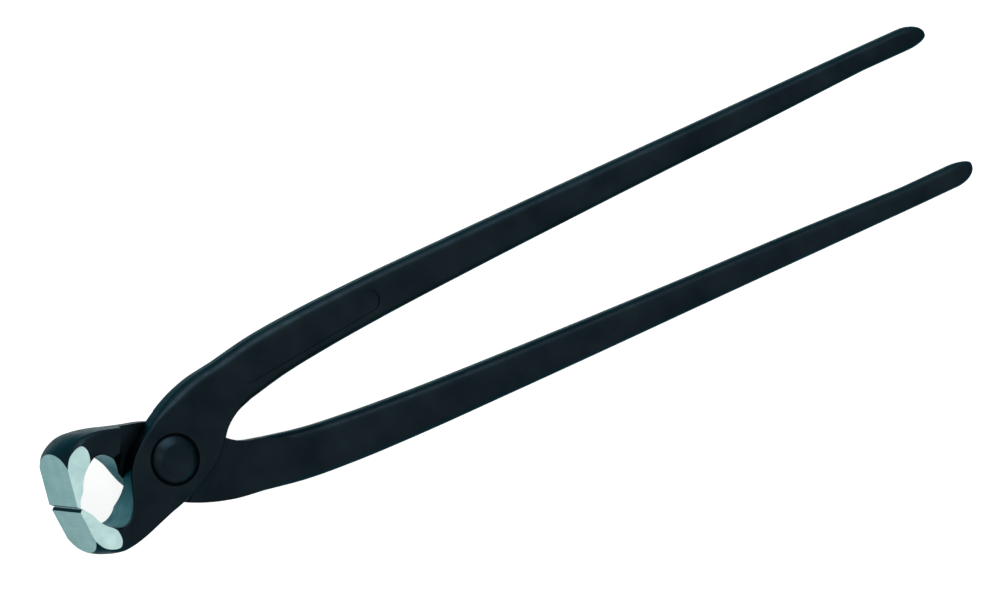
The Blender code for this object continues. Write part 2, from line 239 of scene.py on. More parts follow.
class NodeTree:
    """A material's nodes, with short calls that add and link them."""

    def __init__(self, name: str) -> None:
        """Starts a material that holds only its shader and output.

        Args:
            name: Name of the new material.
        """
        self.material = bpy.data.materials.new(name)
        self.material.use_nodes = True
        self.tree = self.material.node_tree
        self.shader = self.tree.nodes["Principled BSDF"]

    def add(self, kind: str, **settings: object) -> bpy.types.Node:
        """Adds a node.

        Args:
            kind: Blender's name for the node, without the ShaderNode prefix.
            **settings: Properties of the node.

        Returns:
            The new node.
        """
        node = self.tree.nodes.new("ShaderNode" + kind)
        for key, value in settings.items():
            setattr(node, key, value)
        return node

    def link(self, source: bpy.types.NodeSocket, target: bpy.types.NodeSocket) -> None:
        """Links an output to an input."""
        self.tree.links.new(source, target)

    def noise(self, scale: tuple[float, float, float], detail: float) -> bpy.types.NodeSocket:
        """Noise on the piece's own coordinates.

        Args:
            scale: Cells for each metre along X, Y and Z.
            detail: Octaves of the noise.

        Returns:
            The noise value, from 0 to 1.
        """
        place = self.add("TexCoord")
        mapping = self.add("Mapping", vector_type="TEXTURE")
        set_inputs(mapping, {"Scale": tuple(1.0 / value for value in scale)})
        noise = self.add("TexNoise")
        set_inputs(noise, {"Scale": 1.0, "Detail": detail})
        self.link(place.outputs["Object"], mapping.inputs["Vector"])
        self.link(mapping.outputs["Vector"], noise.inputs["Vector"])
        return noise.outputs["Fac"]

    def spread(self, value: bpy.types.NodeSocket, low: float, high: float) -> bpy.types.NodeSocket:
        """Stretches the middle of a noise over a range.

        Args:
            value: A noise value.
            low: Result at and below the low end of NOISE_RANGE.
            high: Result at and above its high end.

        Returns:
            The value in the new range.
        """
        node = self.add("MapRange")
        first, last = NOISE_RANGE
        set_inputs(node, {"From Min": first, "From Max": last, "To Min": low, "To Max": high})
        self.link(value, node.inputs["Value"])
        return node.outputs["Result"]

    def blend(
        self, share: bpy.types.NodeSocket, first: Colour | bpy.types.NodeSocket, second: Colour
    ) -> bpy.types.NodeSocket:
        """Mixes two colours.

        Args:
            share: How much of the second colour there is, from 0 to 1.
            first: Colour at 0, or an output that gives it.
            second: Colour at 1.

        Returns:
            The mixed colour.
        """
        node = self.add("Mix", data_type="RGBA")
        if isinstance(first, bpy.types.NodeSocket):
            self.link(first, node.inputs[MIX_FIRST])
        else:
            node.inputs[MIX_FIRST].default_value = (*first, 1.0)
        node.inputs[MIX_SECOND].default_value = (*second, 1.0)
        self.link(share, node.inputs["Factor"])
        return node.outputs[MIX_RESULT]

    def relief(self, *layers: tuple[bpy.types.NodeSocket, float]) -> None:
        """Stacks bumps on the shader's normal.

        Args:
            *layers: Pairs of a height value and its depth in metres.
        """
        normal = None
        for height, depth in layers:
            bump = self.add("Bump")
            set_inputs(bump, {"Strength": 1.0, "Distance": depth})
            self.link(height, bump.inputs["Height"])
            if normal is not None:
                self.link(normal, bump.inputs["Normal"])
            normal = bump.outputs["Normal"]
        self.link(normal, self.shader.inputs["Normal"])


@dataclass(frozen=True)
class MetalFinish:
    """A metal skin of two cloudy colours. Each finish gives it its own relief.

    Attributes:
        name: Name of the material.
        deep: Colour where the skin is darkest.
        pale: Colour where it is palest.
        edge_tint: Tint of the reflection at a glancing angle.
        smooth: Roughness where the skin is smoothest.
        rough: Roughness where it is roughest.
        cloud: Cells for each metre of the colour's clouds.
        cloud_detail: Octaves of the clouds.
    """

    name: str
    deep: Colour
    pale: Colour
    edge_tint: Colour
    smooth: float
    rough: float
    cloud: float
    cloud_detail: float

    def tone(self, nodes: NodeTree) -> bpy.types.NodeSocket:
        """Mixes the deep and the pale colour in clouds."""
        cloud = nodes.noise((self.cloud,) * 3, self.cloud_detail)
        return nodes.blend(nodes.spread(cloud, 0.0, 1.0), self.deep, self.pale)

    def skin(self, nodes: NodeTree) -> bpy.types.NodeSocket:
        """Adds the relief and returns the noise that the roughness follows."""
        raise NotImplementedError

    def material(self) -> bpy.types.Material:
        """Builds the material.

        Returns:
            The material, with colour, roughness and relief from its nodes.
        """
        nodes = NodeTree(self.name)
        wear = nodes.spread(self.skin(nodes), self.smooth, self.rough)
        nodes.link(self.tone(nodes), nodes.shader.inputs["Base Color"])
        nodes.link(wear, nodes.shader.inputs["Roughness"])
        set_inputs(nodes.shader, {"Metallic": 1.0, "Specular Tint": (*self.edge_tint, 1.0)})
        return nodes.material


@dataclass(frozen=True)
class BlackOxide(MetalFinish):
    """Satin black oxide over a forged and tumbled skin.

    Attributes:
        grain: Cells for each metre of the skin's grain.
        dimple: Cells for each metre of the wider dimples left by the forging.
        grain_depth: Height of the grain.
        dimple_depth: Height of the dimples.
    """

    name: str = "black_oxide"
    deep: Colour = (0.0052, 0.0098, 0.0135)
    pale: Colour = (0.0095, 0.0165, 0.0210)
    edge_tint: Colour = (0.42, 0.505, 0.525)
    smooth: float = 0.34
    rough: float = 0.46
    cloud: float = 90.0
    cloud_detail: float = 4.0
    grain: float = 2600.0
    dimple: float = 2600.0 / 6
    grain_depth: float = 0.010 * MM
    dimple_depth: float = 0.030 * MM

    def skin(self, nodes: NodeTree) -> bpy.types.NodeSocket:
        """Adds the dimples and the grain.

        Args:
            nodes: Nodes of the material.

        Returns:
            The noise of the dimples, which the roughness follows.
        """
        grain = nodes.noise((self.grain,) * 3, detail=3.0)
        dimple = nodes.noise((self.dimple,) * 3, detail=2.0)
        nodes.relief((dimple, self.dimple_depth), (grain, self.grain_depth))
        return dimple


@dataclass(frozen=True)
class TurnedOxide(BlackOxide):
    """The same oxide on the rivet, which is turned and so a little smoother."""

    name: str = "black_oxide_turned"
    smooth: float = 0.30
    rough: float = 0.38
    grain_depth: float = 0.004 * MM
    dimple_depth: float = 0.008 * MM


@dataclass(frozen=True)
class OxideWithPaintedReflection(BlackOxide):
    """Paler oxide whose colour is painted reflection, standing in for the light that the cavity's
    walls and the edge's closing faces reflect.

    Attributes:
        dark: Colour of the plain oxide that it fades into towards the joint, as painted shade
            where the wall lies deep by the lap.
        fade_start: Place along the tool where the fade starts.
        fade_end: Place where it has reached the plain oxide.
    """

    name: str = "oxide_painted_reflection"
    dark: Colour = (0.0060, 0.0150, 0.0190)
    fade_start: float = -16.0 * MM
    fade_end: float = -12.5 * MM
    # Painted reflection: these pale colours stand in for light that the cavity walls and closing
    # faces reflect.
    deep: Colour = (0.034, 0.085, 0.098)
    pale: Colour = (0.085, 0.180, 0.198)
    edge_tint: Colour = (0.45, 0.62, 0.66)
    smooth: float = 0.28
    rough: float = 0.40
    cloud: float = 160.0
    dimple_depth: float = 0.015 * MM

    def tone(self, nodes: NodeTree) -> bpy.types.NodeSocket:
        """Fades the painted reflection's cloudy colour into the plain oxide's along the tool, as
        painted shade towards the joint.

        Args:
            nodes: Nodes of the material.

        Returns:
            The colour.
        """
        place, split, fade = (nodes.add(kind) for kind in ("TexCoord", "SeparateXYZ", "MapRange"))
        set_inputs(fade, {"From Min": self.fade_start, "From Max": self.fade_end})
        nodes.link(place.outputs["Object"], split.inputs["Vector"])
        nodes.link(split.outputs["X"], fade.inputs["Value"])
        return nodes.blend(fade.outputs["Result"], super().tone(nodes), self.dark)


@dataclass(frozen=True)
class GroundSteel(MetalFinish):
    """Bright steel with the fine lines of a grinding wheel.

    Attributes:
        line: Lines for each metre across the grinding direction.
        run: Cells for each metre along it.
        depth: Depth of the lines.
    """

    name: str = "ground_steel"
    deep: Colour = (0.39, 0.585, 0.58)
    pale: Colour = (0.54, 0.740, 0.72)
    edge_tint: Colour = (1.0, 1.0, 1.0)
    smooth: float = 0.24
    rough: float = 0.36
    cloud: float = 240.0
    cloud_detail: float = 3.0
    line: float = 5200.0
    run: float = 120.0
    depth: float = 0.004 * MM

    def skin(self, nodes: NodeTree) -> bpy.types.NodeSocket:
        """Adds the lines.

        Args:
            nodes: Nodes of the material.

        Returns:
            The noise of the lines, which the roughness follows.
        """
        lines = nodes.noise((self.run, self.line, self.run), detail=3.0)
        nodes.relief((lines, self.depth))
        return lines


@dataclass(frozen=True)
class GroundNoseWithPaintedShade(GroundSteel):
    """The nose's ground face: duller than the flanks, and darker by painted shade that stands in
    for the shaded floor that it reflects.
    """

    name: str = "ground_steel_nose_painted_shade"
    # Painted shade: these darker colours and the weaker edge tint stand in for the shaded floor
    # that the nose reflects.
    deep: Colour = (0.112, 0.228, 0.233)
    pale: Colour = (0.150, 0.275, 0.280)
    edge_tint: Colour = (0.80, 0.89, 0.89)
    smooth: float = 0.34
    rough: float = 0.46


# Forged halves


class Finish(Enum):
    """Finishes of a half, numbered as its material slots are."""

    OXIDE = 0
    # Ground nose face, darkened by painted shade.
    NOSE = 1
    FLANK = 2
    # Painted reflection on the cavity's walls and the edge's closing faces.
    PAINTED_REFLECTION = 3


class Side(Enum):
    """Which half of the tool, with the height of its cutting edge in its own frame."""

    FRONT = -0.975 * MM
    REAR = 0.725 * MM


@dataclass(frozen=True)
class ForgedBar:
    """One forging's bar: a loft over rungs that run from the handle's tip to the edge.

    A rung is a row of ten values: left rim x and y, right rim x and y, half thickness, left
    and right edge radius, left and right crown, and the crown of the two faces. The tuples of
    rims are shares of the handle's reach and offset, of the joint's radius, or of the jaw's
    reach and depth. The flares are shares of the way from the joint's half thickness to the
    jaw's half width.
    """

    handle_reach: float = 250.2 * MM
    handle_offset: float = 23.2 * MM
    handle_half_thickness: float = 4.6 * MM
    tip_half_thickness: float = 3.4 * MM
    joint_radius: float = 12.0 * MM
    joint_half_thickness: float = 6.35 * MM
    jaw_reach: float = 30.5 * MM
    jaw_depth: float = 16.2 * MM
    jaw_half_width: float = 12.6 * MM
    handle_edge: float = 3.0 * MM
    tip_edge: float = 2.9 * MM
    joint_edge: float = 0.9 * MM
    jaw_edge: float = 2.0 * MM
    cavity_edge: float = 0.7 * MM
    jaw_crown: float = 3.0 * MM
    face_crown: float = 0.6 * MM
    handle_crown: float = 0.4 * MM
    tip_round: float = 7.06 * MM
    tip_start: float = 243.0 * MM
    tip_skew: float = 1.1 * MM
    tip_closing: float = 0.985
    left_corner_share: float = 0.3
    right_corner_share: float = 0.5
    blend_rungs: int = 3
    corner_steps: int = 10
    side_steps: int = 18
    face_steps: int = 8
    tip_steps: int = 20
    handle_steps: int = 12
    head_steps: int = 10
    handle_rungs: Rungs = (
        (0.911, 1.008, 0.911, 0.736),
        (0.767, 0.998, 0.767, 0.671),
        (0.640, 0.989, 0.640, 0.626),
        (0.508, 0.982, 0.512, 0.573),
        (0.380, 0.970, 0.388, 0.515),
        (0.256, 0.950, 0.272, 0.447),
        (0.192, 0.922, 0.210, 0.394),
        (0.130, 0.864, 0.150, 0.318),
        (0.086, 0.782, 0.108, 0.228),
    )
    joint_rungs: Rungs = (
        (1.067, 1.399, 1.700, 0.300),
        (0.598, 1.269, 1.430, 0.115),
        (0.258, 1.139, 1.275, -0.050),
        (-0.050, 0.983, 1.115, -0.210),
        (-0.310, 0.800, 0.955, -0.375),
        (-0.600, 0.605, 0.715, -0.545),
        (-0.845, 0.385, 0.415, -0.700),
        (-1.010, 0.150, 0.100, -0.835),
        (-1.105, -0.085, -0.180, -0.940),
        (-1.185, -0.335, -0.500, -1.020),
        (-1.285, -0.535, -0.860, -1.120),
    )
    jaw_rungs: Rungs = (
        (-0.555, -0.512, -0.488, -0.914),
        (-0.620, -0.586, -0.620, -0.975),
        (-0.693, -0.593, -0.743, -1.000),
        (-0.766, -0.537, -0.838, -0.957),
        (-0.825, -0.451, -0.934, -0.864),
        (-0.871, -0.333, -1.003, -0.716),
        (-0.904, -0.198, -1.050, -0.469),
        (-0.955, -0.075, -1.060, -0.198),
        (-0.985, 0.100, -1.060, 0.100),
    )
    handle_rounding: tuple[float, ...] = (1, 1, 1, 1, 0.8, 0.5, 0.3, 0.1, 0)
    joint_flare: tuple[float, ...] = (-0.22, -0.13, -0.05, 0, 0, 0, 0, 0, 0.03, 0.09, 0.19)
    jaw_flare: tuple[float, ...] = (0.25, 0.42, 0.60, 0.77, 0.90, 0.97, 1.0, 1.0, 1.0)
    jaw_crowns: tuple[float, ...] = (0.0, 0.1, 0.25, 0.4, 0.65, 0.95, 0.7, 0.3, 0.0)
    face_crowns: tuple[float, ...] = (0.2, 0.6, 1.0, 1.0, 1.0, 1.0, 1.0, 0.6, 0.2)

    def handle_taper(self, x: np.ndarray) -> np.ndarray:
        """How far along the handle each distance is: 0 at its root and 1 at its tip.

        Args:
            x: Distances from the pivot along the tool.

        Returns:
            One share for each distance.
        """
        tip, root = self.handle_rungs[0][0], self.handle_rungs[-1][0]
        return (x / self.handle_reach - root) / (tip - root)

    def handle_face(self, x: np.ndarray) -> np.ndarray:
        """Height of the handle's face, which falls evenly from the root to the tip.

        Args:
            x: Distances from the pivot along the tool.

        Returns:
            Height above the lap's plane at each distance.
        """
        change = self.tip_half_thickness - self.handle_half_thickness
        return self.handle_half_thickness + self.handle_taper(x) * change

    def flared(self, flare: tuple[float, ...]) -> np.ndarray:
        """Half thickness that each share of the flare gives."""
        change = self.jaw_half_width - self.joint_half_thickness
        return self.joint_half_thickness + np.array(flare) * change

    def handle(self) -> np.ndarray:
        """Rungs of the handle, whose edge radius goes over to the tip's by set shares.

        Returns:
            Array of shape (rungs, 10).
        """
        rims = np.array(self.handle_rungs)
        x = rims[:, 0] * self.handle_reach
        change = self.tip_edge - self.handle_edge
        radius = self.handle_edge + np.array(self.handle_rounding) * change
        half = self.handle_face(x)
        crown = self.handle_crown * (1 - self.handle_taper(x))
        scale = np.array([self.handle_reach, self.handle_offset] * 2)
        return np.column_stack([rims * scale, half, radius, radius, crown, crown, 0 * crown])

    def joint(self) -> np.ndarray:
        """Rungs of the joint, whose left edge blends from the handle's to its own.

        Returns:
            Array of shape (rungs, 10).
        """
        rims = np.array(self.joint_rungs)
        count = np.arange(len(rims))
        ahead = np.clip(1 - np.maximum(0, count - 1) / self.blend_rungs, 0.0, 1.0)
        half = self.flared(self.joint_flare)
        left = self.joint_edge + ahead * (self.handle_edge - self.joint_edge)
        right = np.full(len(rims), self.joint_edge)
        crown = ahead * self.handle_crown
        none = 0 * crown
        return np.column_stack([rims * self.joint_radius, half, left, right, crown, none, none])

    def jaw(self) -> np.ndarray:
        """Rungs of the jaw, whose outer side and two faces are crowned.

        Returns:
            Array of shape (rungs, 10).
        """
        rims = np.array(self.jaw_rungs)
        along = np.clip(np.arange(len(rims)) / self.blend_rungs, 0.0, 1.0)
        half = self.flared(self.jaw_flare)
        right = self.joint_edge + along * (self.jaw_edge - self.joint_edge)
        crown = np.array(self.jaw_crowns) * self.jaw_crown
        scale = np.array([self.jaw_reach, self.jaw_depth] * 2)
        face = np.array(self.face_crowns) * self.face_crown
        left = np.full(len(rims), self.cavity_edge)
        return np.column_stack([rims * scale, half, left, right, 0 * crown, crown, face])

    def tip(self) -> np.ndarray:
        """Rungs that close the handle's tip.

        The section shrinks as cos a while it moves out by sin a times the length of the
        rounding, and it is drawn towards the tool's middle as it shrinks. The angle starts
        just short of a quarter turn, so that the tip is closed by a small flat.

        Returns:
            Array of shape (rungs, 10).
        """
        _, left_y, _, right_y = self.handle_rungs[0]
        angle = np.linspace(math.pi / 2 * self.tip_closing, 0.0, self.tip_steps)
        size = np.cos(angle)
        x = self.tip_start + self.tip_round * np.sin(angle)
        y = self.handle_offset * (left_y + right_y) / 2 - self.tip_skew * (1 - size)
        half_width = self.handle_offset * (left_y - right_y) / 2 * size
        thick = size * self.tip_half_thickness
        radius = size * self.tip_edge
        none = 0 * x
        rims = np.column_stack([x, y + half_width, x, y - half_width])
        return np.column_stack([rims, thick, radius, radius, none, none, none])

    def rungs(self) -> np.ndarray:
        """All rungs, from the handle's tip to the cutting edge.

        Returns:
            Array of shape (rungs, 10).
        """
        handle = self.handle()
        head = smooth_rungs(np.vstack([handle[-1:], self.joint(), self.jaw()]), self.head_steps)
        return np.vstack([self.tip(), smooth_rungs(handle, self.handle_steps)[:-1], head])

    def rings(self) -> np.ndarray:
        """Section round each rung: a rectangle with rounded corners, crowned sides and faces.

        A point u along the rung and z above the middle is pulled along the rung by the
        left crown times (1 - u / width)^2 less the right crown times (u / width)^2, both
        times (z / half thickness)^2. Its height shrinks by the face crown's share of the
        half thickness times (2 u / width - 1)^2.

        Returns:
            Array of shape (rungs, points, 3).
        """
        rung = self.rungs()
        left, right = rung[:, 0:2], rung[:, 2:4]
        half, left_radius, right_radius = (rung[:, [k]] for k in (4, 5, 6))
        left_crown, right_crown, face_crown = (rung[:, [k]] for k in (7, 8, 9))
        width = np.linalg.norm(right - left, axis=1)[:, None]
        left_run = np.minimum(left_radius, self.left_corner_share * width)
        right_run = np.minimum(right_radius, self.right_corner_share * width)
        quarter = np.linspace(0.0, math.pi / 2, self.corner_steps + 1)[None]
        face = np.linspace(0.0, 1.0, self.face_steps + 1)[None, 1:-1]
        side = np.linspace(1.0, -1.0, self.side_steps + 1)[None, 1:-1]
        u_top = np.hstack(
            [
                left_run * (1 - np.cos(quarter)),
                left_run + face * (width - left_run - right_run),
                width - right_run * (1 - np.sin(quarter)),
            ]
        )
        z_top = np.hstack(
            [
                half - left_radius * (1 - np.sin(quarter)),
                half + 0 * face,
                half - right_radius * (1 - np.cos(quarter)),
            ]
        )
        u = np.hstack([u_top, width + 0 * side, u_top[:, ::-1], 0 * width + 0 * side])
        right_side, left_side = side * (half - right_radius), -side * (half - left_radius)
        z = np.hstack([z_top, right_side, -z_top[:, ::-1], left_side])
        pull = left_crown * (1 - u / width) ** 2 - right_crown * (u / width) ** 2
        along = (u + pull * (z / half) ** 2) / width
        z = z * (1 - face_crown / half * (2 * u / width - 1) ** 2)
        plan = left[:, None, :] + along[:, :, None] * (right - left)[:, None, :]
        return np.concatenate([plan, z[:, :, None]], axis=2)


@dataclass(frozen=True)
class ForgedHalf:
    """One half of the tool: the bar with its lap, rivet seat and ground faces.

    The corners are plan points of the lap's cut. Those of the edge and the foot of its
    jaw-side shoulder are shares of the jaw's reach and depth, and the far and near ones,
    which lie outside the bar, are shares of the joint's radius.
    """

    bar: ForgedBar = field(default_factory=ForgedBar)
    pivot_depth: float = 8.55 * MM
    opening: float = math.radians(26.0)
    lap_gap: float = 0.3 * MM
    shoulder_height: float = 8.0 * MM
    shoulder_gap: float = 0.25 * MM
    shoulder_rise: float = 0.2 * MM
    shoulder_lead: float = math.radians(3.0)
    shoulder_end: float = math.radians(96.0)
    root_relief: float = 42.0 * MM
    overrun: float = 4.0 * MM
    shank_hole: float = 4.3 * MM
    seat_radius: float = 6.7 * MM
    seat_depth: float = 1.3 * MM
    seat_taper: float = 0.3 * MM
    seat_bevel: float = 0.12 * MM
    edge_setback: float = 0.8 * MM
    nose_slope: float = 0.12
    flank_half_width: float = 10.4 * MM
    panel_length: float = 44.9 * MM
    panel_width: float = 5.9 * MM
    panel_depth: float = 0.3 * MM
    panel_start: float = 24.9 * MM
    panel_rise: float = 12.6 * MM
    panel_slope: float = 0.098
    panel_end_points: int = 33
    plane_tolerance: float = 0.005 * MM
    cavity_tolerance: float = 0.3 * MM
    edge_tolerance: float = 0.01 * MM
    flat_facing: float = 0.999
    edge_facing: float = 0.6
    upright_facing: float = 0.5
    # First head rung of the cavity's rim that gets the painted reflection.
    painted_reflection_from: int = 7
    sweep_steps: int = 90
    rim_steps: int = 8
    rim_jaw_rungs: int = 4
    edge_corners: Rungs = (
        (-0.355, -1.200),
        (-0.364, -0.852),
        (-0.400, -0.679),
        (-0.452, -0.494),
        (-0.525, -0.463),
        (-0.606, -0.444),
    )
    foot_corners: Rungs = (
        (-0.279, -1.173),
        (-0.292, -0.790),
        (-0.325, -0.574),
        (-0.361, -0.340),
        (-0.439, -0.111),
        (-0.492, 0.062),
    )
    far_corners: Rungs = ((1.60, -0.50), (0.80, -1.60))
    near_corners: Rungs = ((0.30, 1.60), (-1.40, 1.00))

    def swept_rim(self, relief: float) -> np.ndarray:
        """Handle-side shoulder, as plan points.

        In each direction from the rivet the radius is the largest that the other half's
        rim reaches while it turns through the opening angle, plus a gap and a relief.

        Args:
            relief: Extra radius.

        Returns:
            Array of shape (points, 2).
        """
        rims = np.vstack([self.bar.joint(), self.bar.jaw()[: self.rim_jaw_rungs]])
        rims = smooth_rungs(rims, self.rim_steps)[:, 2:4]
        angle, radius = -np.arctan2(rims[:, 1], rims[:, 0]), np.hypot(rims[:, 0], rims[:, 1])
        around = np.linspace(angle[0] + self.shoulder_lead, self.shoulder_end, self.sweep_steps)
        turned = around[:, None] + np.linspace(0.0, self.opening, self.sweep_steps)[None]
        reach = np.interp(turned, angle, radius).max(axis=1) + self.shoulder_gap + relief
        return reach[:, None] * np.stack([np.cos(around), np.sin(around)], axis=-1)

    def lap_outline(self, relief: float, share: float) -> np.ndarray:
        """Plan of the cut that makes room for the other half's lap, at one height.

        Args:
            relief: Relief of the handle-side shoulder at this height.
            share: How far up the jaw-side shoulder the height is, from 0 at its foot to 1.

        Returns:
            Array of shape (points, 2).
        """
        foot, edge = np.array(self.foot_corners), np.array(self.edge_corners)
        corners = foot + share * (edge - foot)
        jaw = corners[::-1] * np.array([self.bar.jaw_reach, self.bar.jaw_depth])
        near = np.array(self.near_corners) * self.bar.joint_radius
        far = np.array(self.far_corners)[::-1] * self.bar.joint_radius
        return np.vstack([self.swept_rim(relief), near, jaw, far])

    def cut_lap(self, half: bpy.types.Object) -> None:
        """Cuts the lap.

        The jaw-side shoulder slopes from the bar's side down to the lap's floor. The
        handle-side shoulder rises steeply by a small height, and then the root of the
        handle rises gently to the bar's side.

        Args:
            half: Object to cut.
        """
        floor = self.lap_gap / 2
        deep = -(self.bar.jaw_half_width + self.overrun)
        step = (self.shoulder_rise + floor) / (self.shoulder_height + floor)
        edge = self.lap_outline(self.root_relief, 1.0)
        middle = self.lap_outline(0.0, step)
        foot = self.lap_outline(0.0, 0.0)
        heights = np.array([deep, -self.shoulder_height, -self.shoulder_rise, floor])
        cut_away(half, "lap_cutter", stacked(np.stack([edge, edge, middle, foot]), heights))

    def cut_seat(self, half: bpy.types.Object) -> None:
        """Cuts the shank's hole and the shallow seat round the rivet's head, with its bevel.

        Args:
            half: Object to cut.
        """
        top = self.bar.joint_half_thickness
        floor = top - self.seat_depth
        profile = np.array(
            [
                (self.shank_hole, -self.overrun),
                (self.shank_hole, floor),
                (self.seat_radius - self.seat_taper, floor),
                (self.seat_radius, top - self.seat_bevel),
                (self.seat_radius + self.seat_bevel, top),
                (self.seat_radius + self.seat_bevel + self.overrun, top + self.overrun),
            ]
        )
        cut_away(half, "seat_cutter", revolved_rings(profile, ROUND_SEGMENTS))

    def cut_edge(self, half: bpy.types.Object, closing: float) -> None:
        """Cuts the bar back to its closing plane and bevels the outside of the edge.

        Args:
            half: Object to cut.
            closing: Height of the cutting edge in the half's own frame.
        """
        span = self.bar.jaw_half_width + self.overrun
        far = -(self.bar.jaw_reach + 2 * self.overrun)
        near = -(self.bar.jaw_reach - self.overrun)
        outer = -(self.bar.jaw_reach - self.edge_setback)
        outline = np.array(
            [
                (near, closing),
                (near, self.overrun),
                (far, self.overrun),
                (far, closing - (outer - far)),
                (outer, closing),
            ]
        )
        cut_away(half, "edge_cutter", prism_rings(outline, -span, span))

    def cut_nose(self, half: bpy.types.Object) -> None:
        """Grinds the end face square to the tool, leaning back from the edge.

        Args:
            half: Object to cut.
        """
        span = self.bar.jaw_half_width + self.overrun
        depth = self.bar.jaw_depth + self.overrun
        reach = self.bar.jaw_reach
        far = -(reach + 2 * self.overrun)
        outline = np.array(
            [
                (-reach - self.nose_slope * self.overrun, self.overrun),
                (far, self.overrun),
                (far, -depth),
                (-reach + self.nose_slope * depth, -depth),
            ]
        )
        cut_away(half, "nose_cutter", prism_rings(outline, -span, span))

    def cut_flanks(self, half: bpy.types.Object) -> None:
        """Grinds a flat on each side of the jaw.

        Args:
            half: Object to cut.
        """
        depth = self.bar.jaw_depth + self.overrun
        reach = self.bar.jaw_reach + 2 * self.overrun
        top = self.bar.jaw_half_width + self.overrun
        root = -self.bar.joint_radius
        outline = np.array(
            [(-reach, -depth), (root, -depth), (root, self.overrun), (-reach, self.overrun)]
        )
        cut_away(half, "front_flank_cutter", prism_rings(outline, self.flank_half_width, top))
        cut_away(half, "rear_flank_cutter", prism_rings(outline, -top, -self.flank_half_width))

    def cut_panel(self, half: bpy.types.Object) -> None:
        """Sinks the bare panel, with round ends, into the handle's front face.

        The floor lies at one depth under the face, so it falls as the face does.

        Args:
            half: Object to cut.
        """
        radius = self.panel_width / 2
        run = self.panel_length - self.panel_width
        turn = np.linspace(0.0, math.pi, self.panel_end_points)
        right = np.stack([run + radius * np.sin(turn), -radius * np.cos(turn)], axis=-1)
        left = np.stack([-radius * np.sin(turn), radius * np.cos(turn)], axis=-1)
        slope = math.atan(self.panel_slope)
        spin = np.array([[math.cos(slope), math.sin(slope)], [-math.sin(slope), math.cos(slope)]])
        start = np.array([self.panel_start + radius, self.panel_rise])
        outline = np.vstack([right, left]) @ spin + start
        floor = self.bar.handle_face(outline[:, 0]) - self.panel_depth
        rings = [np.column_stack([outline, level]) for level in (floor, floor + self.overrun)]
        cut_away(half, "panel_cutter", np.stack(rings))

    def finishes(self, mesh: bpy.types.Mesh, closing: float) -> np.ndarray:
        """Gives each face its finish.

        A face belongs to a ground plane where its normal is the plane's and its centre
        lies on it. A face gets the painted reflection where it stands upright along the
        cavity's rim, or lies on the closing plane or on its bevel.

        Args:
            mesh: Mesh of the half, in the half's own frame.
            closing: Height of the cutting edge in the half's own frame.

        Returns:
            One material index for each face.
        """
        count = len(mesh.polygons)
        centre, normal = np.empty(count * 3), np.empty(count * 3)
        mesh.polygons.foreach_get("center", centre)
        mesh.polygons.foreach_get("normal", normal)
        centre, normal = centre.reshape(-1, 3), normal.reshape(-1, 3)
        lean = np.array([-1.0, -self.nose_slope, 0.0]) / math.hypot(1.0, self.nose_slope)
        nose_point = np.array([-self.bar.jaw_reach, 0.0, 0.0])
        on_nose = np.abs((centre - nose_point) @ lean) < self.plane_tolerance
        nose = on_nose & (normal @ lean > self.flat_facing)
        on_flank = np.abs(np.abs(centre[:, 2]) - self.flank_half_width) < self.plane_tolerance
        on_jaw = centre[:, 0] < -self.bar.joint_radius
        flank = on_flank & on_jaw & (np.abs(normal[:, 2]) > self.flat_facing)
        rim = smooth_rungs(np.vstack([self.bar.joint(), self.bar.jaw()]), self.bar.head_steps)
        rim = rim[self.painted_reflection_from * self.bar.head_steps :, 0:2]
        away = np.linalg.norm(centre[:, None, :2] - rim[None], axis=2).min(axis=1)
        cavity = (away < self.cavity_tolerance) & (np.abs(normal[:, 2]) < self.upright_facing)
        closed = centre[:, 1] > closing - self.edge_tolerance
        at_end = centre[:, 0] < -2 * self.bar.joint_radius
        edge = closed & at_end & (normal[:, 1] > self.edge_facing)
        # Painted reflection: the cavity's walls and the closing faces get the paler oxide.
        index = np.zeros(count, dtype=np.int32)
        index[cavity | edge] = Finish.PAINTED_REFLECTION.value
        index[nose] = Finish.NOSE.value
        index[flank] = Finish.FLANK.value
        return index

    def build(self, side: Side, materials: dict[Finish, bpy.types.Material]) -> bpy.types.Object:
        """Makes one half in its place.

        Args:
            side: Which half.
            materials: Material of each finish.

        Returns:
            The finished piece.
        """
        name = f"{side.name.lower()}_forging"
        half = new_object(name + "_blank", grid_mesh(name, self.bar.rings()))
        self.cut_edge(half, side.value)
        self.cut_nose(half)
        self.cut_flanks(half)
        self.cut_lap(half)
        self.cut_seat(half)
        if side is Side.FRONT:
            self.cut_panel(half)
        mesh = finished_mesh(half, name)
        mesh.materials.clear()
        for finish in Finish:
            mesh.materials.append(materials[finish])
        mesh.polygons.foreach_set("material_index", self.finishes(mesh, side.value))
        mesh.shade_smooth()
        mesh.set_sharp_from_angle(angle=SHARP_ANGLE)
        turn = Matrix.Rotation(math.pi, 4, "X") if side is Side.REAR else Matrix.Identity(4)
        mesh.transform(Matrix.Translation((0.0, 0.0, -self.pivot_depth)) @ turn)
        piece = new_object(name, mesh)
        normals = piece.modifiers.new("weighted_normals", "WEIGHTED_NORMAL")
        normals.keep_sharp = True
        return piece


# Rivet


